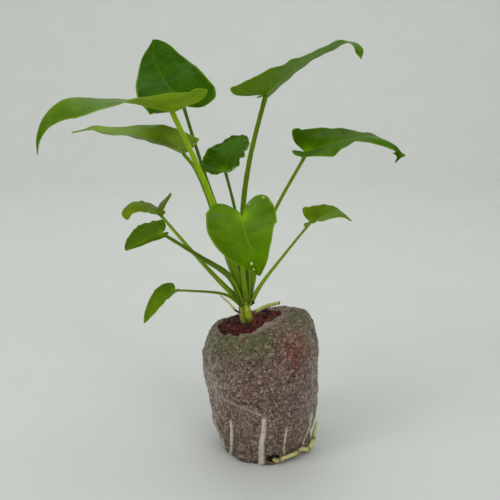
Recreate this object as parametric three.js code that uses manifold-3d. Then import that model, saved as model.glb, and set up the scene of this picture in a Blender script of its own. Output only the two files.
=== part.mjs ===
// A young philodendron rooted in a coir plug that is wrapped in fleece.
// Millimetres, +Z up. X runs to the right of the front view and Y away from the viewer.
// The origin is the middle of the plug's flat base.
import * as THREE from "three";
import { mergeVertices } from "three/addons/utils/BufferGeometryUtils.js";
import Module from "manifold-3d";

const wasm = await Module();
wasm.setup();

// Driving sizes
const CLEARANCE = 0.3; // between pieces that touch
const BLADE_THICKNESS = 0.7;
const FLEECE_THICKNESS = 0.9;
const WELD = 1e-4; // vertices closer than this are one
const SHORT_EDGE = 0.03; // edges that a cut leaves shorter than this are closed up

// The plug's outside, from the foot to the lip of the opening: radius, height, centre X, centre Y
const PLUG_STATIONS = [
  [19.6, 0, 0, 0],
  [20.5, 1, -0.3, 0],
  [21.6, 7, -1.8, 0],
  [23.2, 13, -2.4, 0],
  [24.6, 21, -2.4, 0],
  [25.6, 30, -2.8, 0],
  [26.4, 39, -3.3, 0],
  [26.4, 46, -3.6, 0],
  [25.3, 52.5, -3.6, 0],
  [23.8, 57.5, -4.8, 0],
  [21, 60.6, -6, -0.4],
  [17.6, 62, -7.4, -1],
  [14.6, 61.6, -9, -1.6],
];
const PLUG_SIDES = 40;
// The shoulder is higher at the right, and falls away behind the opening
const PLUG_TILT = { start: 47, end: 62, perX: 0.225, perXX: 0.001, behind: 6, fall: 0.012 };
const FACETS = { count: 9, depth: 0.5, fade: 30 }; // flat stretches between the pleats, near the foot
// The foot is pulled in at the front right, and a flap of the fleece leans over the opening there
const FOOT_TUCK = { bearing: -48, spread: 36, depth: 3.2, fade: 16 };
const FLAP = { bearing: -44, spread: 32, reach: 4.6, from: 0.86 };

// Pleats welded into the lower third: bearing at the top in degrees from +X, how far the foot swings round
// from it, height of the foot and of the top, width
const PLEATS = [
  [-152, -3, 3, 20, 1.1],
  [-125, -13, 1.5, 23, 1.8],
  [-90.6, -7, 0.8, 27, 2.6],
  [-66, 2, 3, 20, 1.3],
  [-30, 4, 2.5, 23, 1.4],
  [8, -3, 3, 21, 1.2],
  [47, 2, 2, 25, 1.9],
  [86, -4, 3, 22, 1.4],
  [124, 3, 2.5, 24, 2],
  [163, -2, 3, 21, 1.3],
];
const PLEAT_DEPTH = 1.4;

const COIR_TOP = 61;
const CRUMB_HEIGHT = 1.1;

const v3 = (x, y, z) => new THREE.Vector3(x, y, z);
const smooth = (a, b, x) => THREE.MathUtils.smoothstep(x, a, b);
const lerp = THREE.MathUtils.lerp;
const radians = THREE.MathUtils.degToRad;

// Solids

function positionsOnly(geometry) {
  const bare = geometry.clone();
  bare.deleteAttribute("normal");
  bare.deleteAttribute("uv");
  return mergeVertices(bare, WELD);
}

function solidOf(geometry) {
  const welded = positionsOnly(geometry);
  return new wasm.Manifold(new wasm.Mesh({
    numProp: 3,
    vertProperties: new Float32Array(welded.attributes.position.array),
    triVerts: new Uint32Array(welded.index.array),
  }));
}

// A solid's faces with its short edges closed up, and without the faces that this makes flat
function geometryOf(solid) {
  const { vertProperties: points, triVerts } = solid.getMesh();
  const corner = (k) => v3(...points.subarray(3 * k, 3 * k + 3));
  const home = Array.from({ length: points.length / 3 }, (_, k) => k);
  const find = (k) => (home[k] === k ? k : find(home[k]));
  const faces = [];
  for (let i = 0; i < triVerts.length; i += 3) {
    faces.push([triVerts[i], triVerts[i + 1], triVerts[i + 2]]);
  }
  for (const [a, b, c] of faces) {
    for (const [p, q] of [[a, b], [b, c], [c, a]]) {
      if (corner(p).distanceTo(corner(q)) < SHORT_EDGE) {
        home[find(p)] = find(q);
      }
    }
  }
  const kept = new Map();
  for (const face of faces) {
    const [a, b, c] = face.map(find);
    const key = [a, b, c].sort((x, y) => x - y).join();
    if (a !== b && b !== c && c !== a && !kept.delete(key)) {
      kept.set(key, [a, b, c]);
    }
  }
  const geometry = new THREE.BufferGeometry();
  geometry.setAttribute("position", new THREE.BufferAttribute(points, 3));
  geometry.setIndex([...kept.values()].flat());
  const clean = positionsOnly(geometry.toNonIndexed());
  clean.computeVertexNormals();
  return clean;
}

// What is left of a solid after its neighbours are cut out, without the loose scraps
function cutBy(solid, cutters) {
  const rest = cutters.reduce((left, cutter) => left.subtract(cutter), solid);
  return rest.decompose().reduce((a, b) => (b.volume() > a.volume() ? b : a));
}

// The two ends of a round form's seam, made exactly alike
const even = (value) => Math.round(value * 1e5) / 1e5;

// A repeatable number from -1 to 1 for a whole-number place
function noise(i, j) {
  const s = Math.sin(i * 127.1 + j * 311.7 + 17.3) * 43758.5453;
  return 2 * (s - Math.floor(s)) - 1;
}

// A value read at t from a list spread evenly over 0 to 1
function along(list, t) {
  const place = Math.min(Math.max(t, 0), 1) * (list.length - 1);
  const i = Math.min(Math.floor(place), list.length - 2);
  return lerp(list[i], list[i + 1], place - i);
}

// A stalk: a capped cylinder bent along a curve, with its radius following a list.
// flat is the ratio of its two half-axes; grow makes it fatter all over.
function stalk(points, radii, { sides = 8, steps = 12, flat = 1, grow = 0 } = {}) {
  const curve = new THREE.CatmullRomCurve3(points.map((p) => v3(...p)), false, "centripetal");
  const frames = curve.computeFrenetFrames(steps, false);
  const geometry = new THREE.CylinderGeometry(1, 1, 1, sides, steps);
  const place = geometry.attributes.position;
  for (let i = 0; i < place.count; i += 1) {
    const t = 0.5 - place.getY(i);
    const step = Math.round(t * steps);
    const radius = along(radii, t);
    const spot = curve.getPointAt(t);
    spot.addScaledVector(frames.normals[step], even(place.getX(i)) * (radius + grow));
    spot.addScaledVector(frames.binormals[step], even(place.getZ(i)) * (radius * flat + grow));
    place.setXYZ(i, spot.x, spot.y, spot.z);
  }
  return solidOf(geometry);
}

// Plug

function plugStation(t) {
  return [0, 1, 2, 3].map((k) => along(PLUG_STATIONS.map((s) => s[k]), t));
}

// How much of a bulge centred on a bearing, in degrees, is felt at another, in radians
function near(bearing, { bearing: centre, spread }) {
  const apart = THREE.MathUtils.euclideanModulo(bearing - radians(centre) + Math.PI, 2 * Math.PI) - Math.PI;
  return Math.exp(-((apart / radians(spread)) ** 2));
}

// A point on the plug's wall, inset from the outside by a distance, at a bearing in radians
function wallPoint(t, bearing, inset) {
  const [radius, height, cx, cy] = plugStation(t);
  const facet = 1 - smooth(0, FACETS.fade, height);
  const ripple = FACETS.depth * facet * Math.cos(FACETS.count * bearing + 0.9);
  const slump = 0.35 * Math.sin(3 * bearing + height * 0.12) + 0.25 * Math.sin(5 * bearing - height * 0.2);
  const tuck = FOOT_TUCK.depth * near(bearing, FOOT_TUCK) * (1 - smooth(0, FOOT_TUCK.fade, height));
  const flap = FLAP.reach * near(bearing, FLAP) * smooth(FLAP.from, 1, t);
  const reach = radius - inset + ripple + slump * smooth(2, 12, height) - tuck - flap;
  const x = cx + reach * Math.cos(bearing);
  const y = cy + reach * Math.sin(bearing);
  const tilt = smooth(PLUG_TILT.start, PLUG_TILT.end, height);
  const behind = Math.max(0, y - PLUG_TILT.behind);
  const lean = PLUG_TILT.perX * (x - cx) + PLUG_TILT.perXX * (x - cx) ** 2 - PLUG_TILT.fall * behind ** 2;
  return v3(x, y, height + tilt * lean);
}

// The t on the plug's wall at which it reaches a height
function wallAt(height) {
  const last = PLUG_STATIONS.length - 1;
  const i = PLUG_STATIONS.findIndex((s, k) => k < last && PLUG_STATIONS[k + 1][1] >= height);
  const [low, high] = [PLUG_STATIONS[i][1], PLUG_STATIONS[i + 1][1]];
  return (i + (height - low) / (high - low)) / last;
}

// A closed lathe form laid on the plug's uneven wall. Each row of its profile is a place on the axis, or a
// share t of the wall's height with an inset and a lift.
function plugLathe(profile, shift = () => 0) {
  const flat = profile.map((p, i) => new THREE.Vector2(p.axis ? 0 : 1, i));
  const geometry = new THREE.LatheGeometry(flat, PLUG_SIDES);
  const place = geometry.attributes.position;
  for (let k = 0; k < place.count; k += 1) {
    const row = Math.round(place.getY(k));
    const bearing = Math.atan2(-even(place.getZ(k)), even(place.getX(k)));
    const p = profile[row];
    const spot = p.axis ? v3(p.x, p.y, p.z) : wallPoint(p.t, bearing, p.inset);
    spot.z += p.axis ? 0 : p.lift + shift(row, bearing);
    place.setXYZ(k, spot.x, spot.y, spot.z);
  }
  return solidOf(geometry);
}

function fleeceSleeve() {
  const last = PLUG_STATIONS.length - 1;
  const outside = PLUG_STATIONS.map((_, i) => ({ t: i / last, inset: 0, lift: 0 }));
  const inside = PLUG_STATIONS.map((_, i) => ({ t: i / last, inset: 0, lift: 0 })).reverse();
  for (const p of inside) {
    const shoulder = smooth(0.72, 0.95, p.t);
    p.inset = FLEECE_THICKNESS * (1 - shoulder);
    p.lift = -FLEECE_THICKNESS * shoulder;
  }
  inside.at(-1).lift = FLEECE_THICKNESS;
  const floor = { axis: true, x: 0, y: 0, z: 0 };
  const roof = { axis: true, x: 0, y: 0, z: FLEECE_THICKNESS };
  const rows = [floor, ...outside, ...inside, roof];
  const lip = outside.length;
  const ragged = (row, bearing) => {
    const nearness = row === lip || row === lip + 1 ? 1 : 0;
    return nearness * Math.abs(Math.sin(7 * bearing + 1) * Math.cos(3 * bearing));
  };
  let sleeve = plugLathe(rows, ragged);
  for (const row of PLEATS) {
    sleeve = sleeve.add(pleat(...row));
  }
  return cutBy(sleeve, [torn(), rootCutter]);
}

// One pleat: a narrow strip that stands a little proud of the wall it is welded into
function pleat(degrees, swing, foot, top, width) {
  const steps = 6;
  const box = new THREE.BoxGeometry(1, 1, 1, 1, 1, steps);
  const place = box.attributes.position;
  for (let i = 0; i < place.count; i += 1) {
    const rise = place.getZ(i) + 0.5;
    const height = lerp(foot, top, rise);
    const bearing = radians(degrees + swing * (1 - rise));
    const taper = 0.55 + 0.45 * Math.sin(Math.PI * rise);
    const spot = wallPoint(wallAt(height), bearing, FLEECE_THICKNESS * 0.6);
    const outward = v3(Math.cos(bearing), Math.sin(bearing), 0);
    const across = v3(-Math.sin(bearing), Math.cos(bearing), 0);
    spot.addScaledVector(outward, (place.getX(i) + 0.5) * PLEAT_DEPTH * (0.6 + 0.4 * taper));
    spot.addScaledVector(across, place.getY(i) * width * taper);
    place.setXYZ(i, spot.x, spot.y, spot.z);
  }
  return solidOf(box);
}

// The torn place at the front of the foot
function torn() {
  const hole = new THREE.IcosahedronGeometry(1, 1);
  hole.scale(3.6, 3, 2.9);
  hole.rotateY(0.25);
  hole.translate(1, -18.4, 4);
  return solidOf(hole);
}

function coirSubstrate(holes) {
  const inset = FLEECE_THICKNESS + CLEARANCE;
  const last = PLUG_STATIONS.length - 1;
  const wall = [];
  for (let i = 1; i < last; i += 1) {
    const shoulder = smooth(0.72, 0.95, i / last);
    wall.push({ t: i / last, inset: inset * (1 - shoulder), lift: -inset * shoulder });
  }
  const foot = { t: 0, inset: inset + 0.4, lift: inset };
  const base = { axis: true, x: 0, y: 0, z: inset };
  const crumb = [0.3, 4, 8, 11.5].map((extra) => ({ t: 1, inset: extra, lift: -inset }));
  const peak = { axis: true, x: -9, y: -1.6, z: COIR_TOP - 0.4 };
  const rows = [base, foot, ...wall, ...crumb, peak];
  const firstCrumb = 2 + wall.length;
  const rough = (row, bearing) => {
    const rim = row === firstCrumb ? 0 : 1;
    const column = Math.round((bearing / Math.PI + 1) * PLUG_SIDES / 2) % PLUG_SIDES;
    return row < firstCrumb ? 0 : rim * CRUMB_HEIGHT * 0.5 * noise(row, column);
  };
  return cutBy(plugLathe(rows, rough), holes);
}

// Crown and stalks

const STEM = {
  points: [[-8.2, 0, 48], [-8.6, 0, 60.5], [-10.2, 0, 66.5], [-10.5, 0, 72.5]],
  radii: [0.9, 1.35, 1.9, 2.1, 1.3],
};
const SIDE_STEM = {
  points: [[-11.4, -3.2, 49], [-11.2, -3, 60], [-12.6, -2.4, 66], [-12.8, -1.6, 69.5]],
  radii: [0.6, 0.95, 1, 0.9],
};

// Each leaf: the stalk from the crown to the blade, its radii, and the blade.
// rib runs from the stalk's end to the tip. up is the way the upper face looks at the base and at the tip.
// right and left are the halves as seen along the rib: width, then how far each is raised, in degrees, in
// even steps from the base to the tip, and the share of the lobe's reach. lobe is how far the rear lobes
// reach behind the stalk's end, and how steeply they rise, in degrees. point is for the right and the left:
// 1 gives a drawn-out tip, less a fuller one.
const LEAVES = {
  top_right: {
    stalk: [[-9.1, 0, 70.5], [-9, 1, 87.5], [-11.7, 3, 111], [-9.2, 4.5, 132], [-6.4, 5.5, 144.5],
      [-1.8, 6, 161.8]],
    radii: [1.5, 1.6, 1.25, 1.1, 1, 0.95],
    rib: [[-1.8, 6, 162.4], [6, 6, 169.5], [14.6, 6, 175.6], [23, 5, 180.6], [30.5, 3, 183.6],
      [35.6, 1, 181.6], [37.5, 0, 176.4]],
    up: [[-0.5, 0, 0.85], [-0.2, 0, 1]],
    right: [16, [34, 13, 8, 4, 0]],
    left: [15, [-6, -10, -8, 0], 0.45],
    lobe: [11, 26],
    point: [0.85, 0.85],
    rows: 18,
  },
  top_left: {
    stalk: [[-11.7, -1, 71.5], [-17, -3, 92], [-25.6, -6.5, 120.6], [-31, -10, 135],
      [-39.6, -15, 155.3]],
    radii: [1.6, 2, 1.3, 1.15, 1.05],
    rib: [[-39.8, -15, 155.8], [-48.1, -18, 158], [-56.1, -21, 160], [-66.2, -25, 161], [-78.9, -29, 160.8],
      [-86.3, -31, 154.4], [-89.1, -32.5, 147], [-89.4, -33, 140.4]],
    up: [[0, 0, 1], [-0.8, -0.2, 0.5]],
    right: [17, [12, -2, -16, -20, -16]],
    left: [20, [26, 10, -12, -38, -44, -38]],
    lobe: [10, 24],
    point: [1, 1],
    rows: 20,
  },
  upright_left: {
    stalk: [[-10.9, 2, 71.5], [-16.3, 4.5, 93.8], [-24.7, 7.5, 116], [-31.3, 11, 135.2], [-37.9, 13, 157]],
    radii: [1.2, 1, 0.8, 0.75, 0.7],
    rib: [[-38.1, 13.4, 157.6], [-43.3, 18, 163.2], [-48.4, 25, 169.3], [-52.7, 32, 176.9],
      [-54.2, 40, 186.3]],
    up: [[0.05, -0.7, 0.7], [0.1, -0.7, 0.65]],
    right: [16.6, [8, 4, 4]],
    left: [17.4, [17, 8, 10], 0.3],
    lobe: [6.5, 0],
    point: [0.42, 1.15],
    rows: 16,
  },
  mid_left: {
    stalk: [[-12.2, 1.5, 71.5], [-19.3, 1.5, 92.2], [-27.3, 0.5, 119], [-32.7, 0, 131.7], [-37, -0.5, 137.4]],
    radii: [1.1, 1, 0.85, 0.8, 0.75],
    rib: [[-37.2, -0.5, 137.9], [-47.1, 1, 142], [-57.1, 3, 145], [-69.1, 5, 146.4], [-77, 6, 147.4],
      [-86.2, 6, 145.9]],
    up: [[0, 0, 1], [-0.1, -0.1, 1]],
    right: [13, [30, 22, 10, 4]],
    left: [10.5, [16, 2, 0, 2]],
    lobe: [3.5, 30],
    point: [1, 1],
    rows: 16,
  },
  centre_small: {
    stalk: [[-10.4, 3, 71.5], [-12.7, 7, 97.8], [-15.8, 11, 113], [-19.7, 15, 127.6]],
    radii: [1.1, 0.85, 0.7, 0.65],
    rib: [[-19.9, 15, 128], [-17.8, 20, 133.5], [-14.8, 26, 138.6], [-12, 32, 143]],
    up: [[-0.2, -0.75, 0.6], [-0.2, -0.6, 0.7]],
    right: [10, [40, 24, 14]],
    left: [12, [8, 6, 6]],
    lobe: [4.5, 25],
    point: [0.6, 0.7],
    rows: 12,
  },
  mid_right: {
    stalk: [[-8.6, 2.5, 72], [-3.7, 3.5, 96.3], [2.5, 4, 112], [15.9, 4, 137]],
    radii: [1.1, 0.9, 0.8, 0.75],
    rib: [[16.1, 4, 137.6], [24.5, 2, 141], [34, 0, 143.4], [43.2, -3, 144.6], [50.5, -4.5, 142],
      [54, -5.5, 138.6], [52.4, -6, 134.2]],
    up: [[-0.35, -0.05, 1], [0.2, 0, 1]],
    right: [13, [6, -18, 2, -14, -16]],
    left: [13, [46, 24, 2, 0, -4]],
    lobe: [5, 34],
    point: [0.75, 0.75],
    rows: 16,
  },
  small_right: {
    stalk: [[-8.4, -2.2, 70.3], [-3.7, -2.8, 79.6], [8.9, -4.2, 97.1], [17.3, -5, 108.1]],
    radii: [1, 0.75, 0.6, 0.55],
    rib: [[17.6, -5, 108.9], [22.9, -8, 112], [28.4, -11, 113.4], [34.1, -13, 110.8]],
    up: [[-0.5, -0.1, 1], [0.2, -0.1, 1]],
    right: [7, [12, -8, -4], 0.3],
    left: [7, [50, 26, 6, 0]],
    lobe: [2.6, 30],
    point: [0.9, 0.9],
    rows: 12,
  },
  front_heart: {
    stalk: [[-10.4, -3, 72.5], [-12.1, -6.5, 91], [-12, -12, 103.5], [-11.7, -22.4, 114.4]],
    radii: [1.3, 1.1, 0.95, 0.85],
    rib: [[-11.6, -23.4, 114.6], [-10.8, -30, 110], [-8.2, -36, 104.6], [-5.9, -39, 99.5], [-4.7, -40, 94.6]],
    up: [[0, -0.62, 0.78], [0, -0.95, 0.2]],
    right: [14.8, [12, 6, 4], 0.72],
    left: [13.4, [8, 4, 2], 1.3],
    lobe: [8, 0],
    point: [0.8, 0.9],
    rows: 16,
  },
  low_left_upper: {
    stalk: [[-12.7, -0.5, 71], [-20.6, -2, 79.3], [-33.7, -6.5, 96], [-46.4, -10, 112.6]],
    radii: [1.2, 1, 0.75, 0.65],
    rib: [[-46.6, -10, 113.1], [-50.3, -12, 115.4], [-54.2, -14, 116.3], [-57, -15.5, 116],
      [-58.6, -17, 114.7], [-58.9, -18, 112.3]],
    up: [[0.2, 0, 1], [-0.3, -0.5, 0.8]],
    right: [6, [16, 8, 2]],
    left: [3.4, [-8, -12, -14], 0.3],
    lobe: [8.6, 80],
    point: [0.45, 0.6],
    rows: 12,
  },
  low_left_lower: {
    stalk: [[-12.2, -2.5, 72], [-17, -5, 83.5], [-30.7, -12, 95.5], [-44, -22.6, 107.3]],
    radii: [1.4, 1.3, 0.85, 0.65],
    rib: [[-44.4, -23, 107.7], [-48.4, -27, 106.9], [-52.8, -30.5, 105.2], [-57.3, -34, 103.2]],
    up: [[-0.2, -0.7, 0.7], [-0.2, -0.7, 0.7]],
    right: [8, [2, 4, 6]],
    left: [1.9, [-50, -60, -50], 0.6],
    lobe: [4.6, 10],
    point: [0.6, 0.7],
    rows: 12,
  },
  lowest_left: {
    stalk: [[-12.2, -2, 69.5], [-18.8, -6, 75.9], [-34, -19, 82], [-39.6, -23.6, 83.6]],
    radii: [0.8, 0.6, 0.5, 0.45],
    rib: [[-40, -24, 83.5], [-43.6, -28, 82.6], [-47.7, -32, 79], [-51.1, -35, 73.5]],
    up: [[-0.3, -0.75, 0.5], [-0.4, -0.75, 0.4]],
    right: [4.7, [14, 8, 8]],
    left: [3.8, [44, 16, 6], 0.3],
    lobe: [2, 0],
    point: [0.8, 0.6],
    rows: 10,
  },
};

// Half of a heart-shaped outline from the notch at the stalk round to the tip: out by half-width,
// along by the lobe behind the stalk and by the rib before it
const HEART = [[0, 0], [0.12, -0.5], [0.42, -1], [0.78, -0.9], [0.98, -0.25], [1, 0.16], [0.86, 0.36],
  [0.6, 0.58], [0.32, 0.78], [0.12, 0.91], [0, 1]];
const HEART_CURVE = new THREE.SplineCurve(HEART.map(([x, y]) => new THREE.Vector2(x, y)));
const VEIN_START = 0.36; // share of the margin whose veins leave the stalk's end itself
const RIPPLES = 3.5;
const RIPPLE_HEIGHT = 0.7;

function bladeFrame(leaf) {
  const rib = new THREE.CatmullRomCurve3(leaf.rib.map((p) => v3(...p)), false, "centripetal");
  const [upBase, upTip] = leaf.up.map((p) => v3(...p));
  return (y) => {
    const s = Math.max(y, 0);
    const spot = rib.getPointAt(Math.min(s, 1));
    const forward = rib.getTangentAt(Math.min(s, 1));
    const up = upBase.clone().lerp(upTip, s);
    const right = forward.clone().cross(up).normalize();
    const normal = right.clone().cross(forward);
    return { spot, forward, right, normal };
  };
}

// The middle surface of a blade: rows from the notch to the tip, columns from margin to rib to margin
function bladeSurface(leaf, columns) {
  const sheet = new THREE.PlaneGeometry(2, 1, 2 * columns, leaf.rows);
  const place = sheet.attributes.position;
  const frameAt = bladeFrame(leaf);
  for (let i = 0; i < place.count; i += 1) {
    const out = place.getX(i);
    const u = 0.5 - place.getY(i);
    const side = out < 0 ? leaf.left : leaf.right;
    const edge = HEART_CURVE.getPoint(u);
    const start = Math.max(0, (u - VEIN_START) / (1 - VEIN_START)) ** 1.15;
    const point = edge.y > 0 ? leaf.point[out < 0 ? 1 : 0] : 1;
    const x = edge.x ** point * Math.abs(out) * side[0];
    const y = lerp(start, edge.y > 0 ? edge.y ** (0.5 + 0.5 * point) : edge.y, Math.abs(out));
    const frame = frameAt(y);
    const raise = radians(along(side[1], y));
    const [reach, rise] = leaf.lobe;
    const behind = -Math.min(y, 0) * reach * (side[2] ?? 1);
    const phase = 2 * Math.PI * RIPPLES * u + (out < 0 ? 0.8 : 2.2);
    const wave = RIPPLE_HEIGHT * Math.sin(phase) * out * out * edge.x;
    const spot = frame.spot;
    spot.addScaledVector(frame.right, Math.sign(out) * x * Math.cos(raise));
    spot.addScaledVector(frame.normal, x * Math.sin(raise) + wave * Math.min(1, side[0] / 14));
    spot.addScaledVector(frame.forward, -behind * Math.cos(radians(rise)));
    spot.addScaledVector(frame.normal, behind * Math.sin(radians(rise)));
    place.setXYZ(i, spot.x, spot.y, spot.z);
  }
  return positionsOnly(sheet);
}

// Both faces of a sheet with the same triangles, joined along its edge; grow makes it larger all over
function thicken(sheet, thickness, grow = 0) {
  const place = sheet.attributes.position;
  const faces = [];
  for (let i = 0; i < sheet.index.count; i += 3) {
    const [a, b, c] = [0, 1, 2].map((k) => sheet.index.getX(i + k));
    if (a !== b && b !== c && c !== a) {
      faces.push([a, b, c]);
    }
  }
  const bare = new THREE.BufferGeometry();
  bare.setAttribute("position", place);
  bare.setIndex(faces.flat());
  bare.computeVertexNormals();
  const normals = bare.attributes.normal;
  const edges = new Map();
  for (const [a, b, c] of faces) {
    for (const [p, q] of [[a, b], [b, c], [c, a]]) {
      if (!edges.delete(`${q},${p}`)) {
        edges.set(`${p},${q}`, [p, q]);
      }
    }
  }
  const outward = new Map();
  for (const [p, q] of edges.values()) {
    const direction = v3().fromBufferAttribute(place, q).sub(v3().fromBufferAttribute(place, p));
    const away = direction.cross(v3().fromBufferAttribute(normals, p)).normalize();
    for (const k of [p, q]) {
      outward.set(k, (outward.get(k) ?? v3(0, 0, 0)).add(away));
    }
  }
  const points = [];
  for (const sign of [1, -1]) {
    for (let i = 0; i < place.count; i += 1) {
      const spot = v3().fromBufferAttribute(place, i);
      spot.addScaledVector(v3().fromBufferAttribute(normals, i), sign * (thickness / 2 + grow));
      if (outward.has(i)) {
        spot.addScaledVector(outward.get(i).clone().normalize(), grow);
      }
      points.push(spot.x, spot.y, spot.z);
    }
  }
  const n = place.count;
  const index = faces.flatMap(([a, b, c]) => [a, b, c, c + n, b + n, a + n]);
  for (const [p, q] of edges.values()) {
    index.push(q, p, p + n, q, p + n, q + n);
  }
  const solid = new THREE.BufferGeometry();
  solid.setAttribute("position", new THREE.Float32BufferAttribute(points, 3));
  solid.setIndex(index);
  return solidOf(solid);
}

function blade(leaf, grow = 0) {
  return thicken(bladeSurface(leaf, leaf.rows > 12 ? 4 : 3), BLADE_THICKNESS, grow);
}

// Old sheaths and the escaped root

const OLD_BASE = {
  points: [[-22, -3.5, 75], [-18, -3.4, 71.2], [-15.4, -3.1, 68], [-13.2, -2.6, 66.4]],
  radii: [0.6, 0.9, 1, 0.8],
};
const PALE_STRIP = {
  points: [[-7, -1.6, 66.2], [-1.5, 4, 67.3], [5.2, 9.4, 67.2]],
  radii: [1, 0.95, 0.9],
};
const ROOT = {
  points: [[0.6, -15.6, 3.6], [2.8, -18.6, 2], [7.2, -17.8, 3], [11.6, -15.4, 3.4], [15, -12.2, 3.9],
    [18.2, -8.8, 2], [20.4, -6, 3.8], [21.6, -4.6, 8.5], [22.6, -3.8, 13]],
  radii: [0.8, 1, 0.9, 0.95, 0.95, 1.1, 0.95, 0.85, 0.6],
};

// Assembly

const FINISH = {
  blade: { color: 0x4d7d12, roughness: 0.45, metalness: 0 },
  stalk: { color: 0x7fa52a, roughness: 0.4, metalness: 0 },
  stem: { color: 0x8a9a3c, roughness: 0.5, metalness: 0 },
  fleece: { color: 0xa3968a, roughness: 0.95, metalness: 0 },
  coir: { color: 0x4a2418, roughness: 1, metalness: 0 },
  old: { color: 0xc9bd8a, roughness: 0.8, metalness: 0 },
  root: { color: 0xbdb87e, roughness: 0.7, metalness: 0 },
};

const plant = new THREE.Group();
plant.name = "potted_philodendron";

function place(name, solid, finish) {
  const mesh = new THREE.Mesh(geometryOf(solid), new THREE.MeshStandardMaterial(FINISH[finish]));
  mesh.name = name;
  plant.add(mesh);
}

const rootCutter = stalk(ROOT.points, ROOT.radii, { steps: 20, grow: CLEARANCE });
const stem = stalk(STEM.points, STEM.radii, { sides: 12 });
const stemCutter = stalk(STEM.points, STEM.radii, { sides: 12, grow: CLEARANCE });
const sideStem = cutBy(stalk(SIDE_STEM.points, SIDE_STEM.radii), [stemCutter]);
const sideCutter = stalk(SIDE_STEM.points, SIDE_STEM.radii, { grow: CLEARANCE });

place("fleece_sleeve", fleeceSleeve(), "fleece");
place("coir_substrate", coirSubstrate([stemCutter, sideCutter, rootCutter]), "coir");
place("stem_main", stem, "stem");
place("stem_side", sideStem, "stem");

const cutters = [stemCutter, sideCutter];
for (const [name, leaf] of Object.entries(LEAVES)) {
  const own = blade(leaf, CLEARANCE);
  place(`petiole_${name}`, cutBy(stalk(leaf.stalk, leaf.radii), [own, ...cutters]), "stalk");
  place(`blade_${name}`, blade(leaf), "blade");
  cutters.push(stalk(leaf.stalk, leaf.radii, { grow: CLEARANCE }));
}

const oldBase = stalk(OLD_BASE.points, OLD_BASE.radii, { steps: 8, flat: 0.6 });
const paleStrip = stalk(PALE_STRIP.points, PALE_STRIP.radii, { steps: 8, flat: 0.5 });
place("old_leaf_base", cutBy(oldBase, cutters), "old");
place("pale_strip", cutBy(paleStrip, cutters), "old");
place("escaped_root", stalk(ROOT.points, ROOT.radii, { steps: 20 }), "root");

export default plant;
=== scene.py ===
import math

import bmesh
import bpy
import numpy as np
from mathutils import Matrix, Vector


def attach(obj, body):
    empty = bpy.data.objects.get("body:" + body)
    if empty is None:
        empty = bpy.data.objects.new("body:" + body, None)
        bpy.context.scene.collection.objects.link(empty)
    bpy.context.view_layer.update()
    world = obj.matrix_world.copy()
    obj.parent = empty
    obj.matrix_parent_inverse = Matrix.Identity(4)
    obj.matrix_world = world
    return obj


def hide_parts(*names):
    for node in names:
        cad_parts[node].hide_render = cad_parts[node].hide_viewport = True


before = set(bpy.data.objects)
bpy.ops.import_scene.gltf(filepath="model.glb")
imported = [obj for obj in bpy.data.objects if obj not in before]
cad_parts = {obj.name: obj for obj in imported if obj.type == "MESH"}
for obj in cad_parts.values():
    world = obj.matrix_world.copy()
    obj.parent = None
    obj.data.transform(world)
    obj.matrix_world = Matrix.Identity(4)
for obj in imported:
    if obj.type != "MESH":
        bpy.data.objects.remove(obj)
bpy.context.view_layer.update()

MM = 0.001
TAU = 2 * math.pi

# The photograph's camera
LENS = 48.74
SENSOR = 36
CAMERA_AT = (-8.6, -291, 168)
CAMERA_DOWN = 14.1

# The plug's outside from the foot to the lip of the opening: radius, height, centre X, centre Y
PLUG_STATIONS = np.array([
    (19.6, 0, 0, 0), (20.5, 1, -0.3, 0), (21.6, 7, -1.8, 0), (23.2, 13, -2.4, 0), (24.6, 21, -2.4, 0),
    (25.6, 30, -2.8, 0), (26.4, 39, -3.3, 0), (26.4, 46, -3.6, 0), (25.3, 52.5, -3.6, 0),
    (23.8, 57.5, -4.8, 0), (21, 60.6, -6, -0.4), (17.6, 62, -7.4, -1), (14.6, 61.6, -9, -1.6),
])
FLEECE = 0.9
COIR_GAP = 1.2
COIR_PEAK = (-9, -1.6, 60.6)

# Pleats in the fleece: bearing at the top, swing of the foot, height of foot and top, width
PLEATS = [
    (-152, -3, 3, 20, 1.1), (-125, -21, 1.5, 23, 1.9), (-90.6, -10, 0.8, 27, 2.7), (-66, 2, 3, 20, 1.3),
    (-30, 4, 2.5, 23, 1.4), (8, -3, 3, 21, 1.2), (47, 2, 2, 25, 1.9), (86, -4, 3, 22, 1.4),
    (124, 3, 2.5, 24, 2), (163, -2, 3, 21, 1.3),
]

STEM = dict(points=[(-8.2, 0, 48), (-8.6, 0, 60.5), (-10.2, 0, 66.5), (-10.5, 0, 72.5)],
            radii=[0.9, 1.35, 1.9, 2.1, 1.3])
SIDE_STEM = dict(points=[(-11.4, -3.2, 49), (-11.2, -3, 60), (-12.6, -2.4, 66), (-12.8, -1.6, 69.5)],
                 radii=[0.6, 0.95, 1, 0.9])
OLD_BASE = dict(points=[(-22, -3.5, 75), (-18, -3.4, 71.2), (-15.4, -3.1, 68), (-13.2, -2.6, 66.4)],
                radii=[0.6, 0.9, 1, 0.8])
PALE_STRIP = dict(points=[(-7, -1.6, 66.2), (-1.5, 4, 67.3), (5.2, 9.4, 67.2)], radii=[1, 0.95, 0.9])
ROOT = dict(points=[(0.6, -15.6, 3.6), (2.8, -18.6, 2), (7.2, -17.8, 3), (11.6, -15.4, 3.4),
                    (15, -12.2, 3.9), (18.2, -8.8, 2), (20.4, -6, 3.8), (21.6, -4.6, 8.5), (22.6, -3.8, 13)],
            radii=[0.8, 1, 0.9, 0.95, 0.95, 1.1, 0.95, 0.85, 0.6])
# Where the foot is tucked in and the lip is drawn back: bearing, spread in degrees, depth
FOOT_TUCK = (-48, 36, 3.2)
LIP_DIP = (-44, 32, 4.6)

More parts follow.
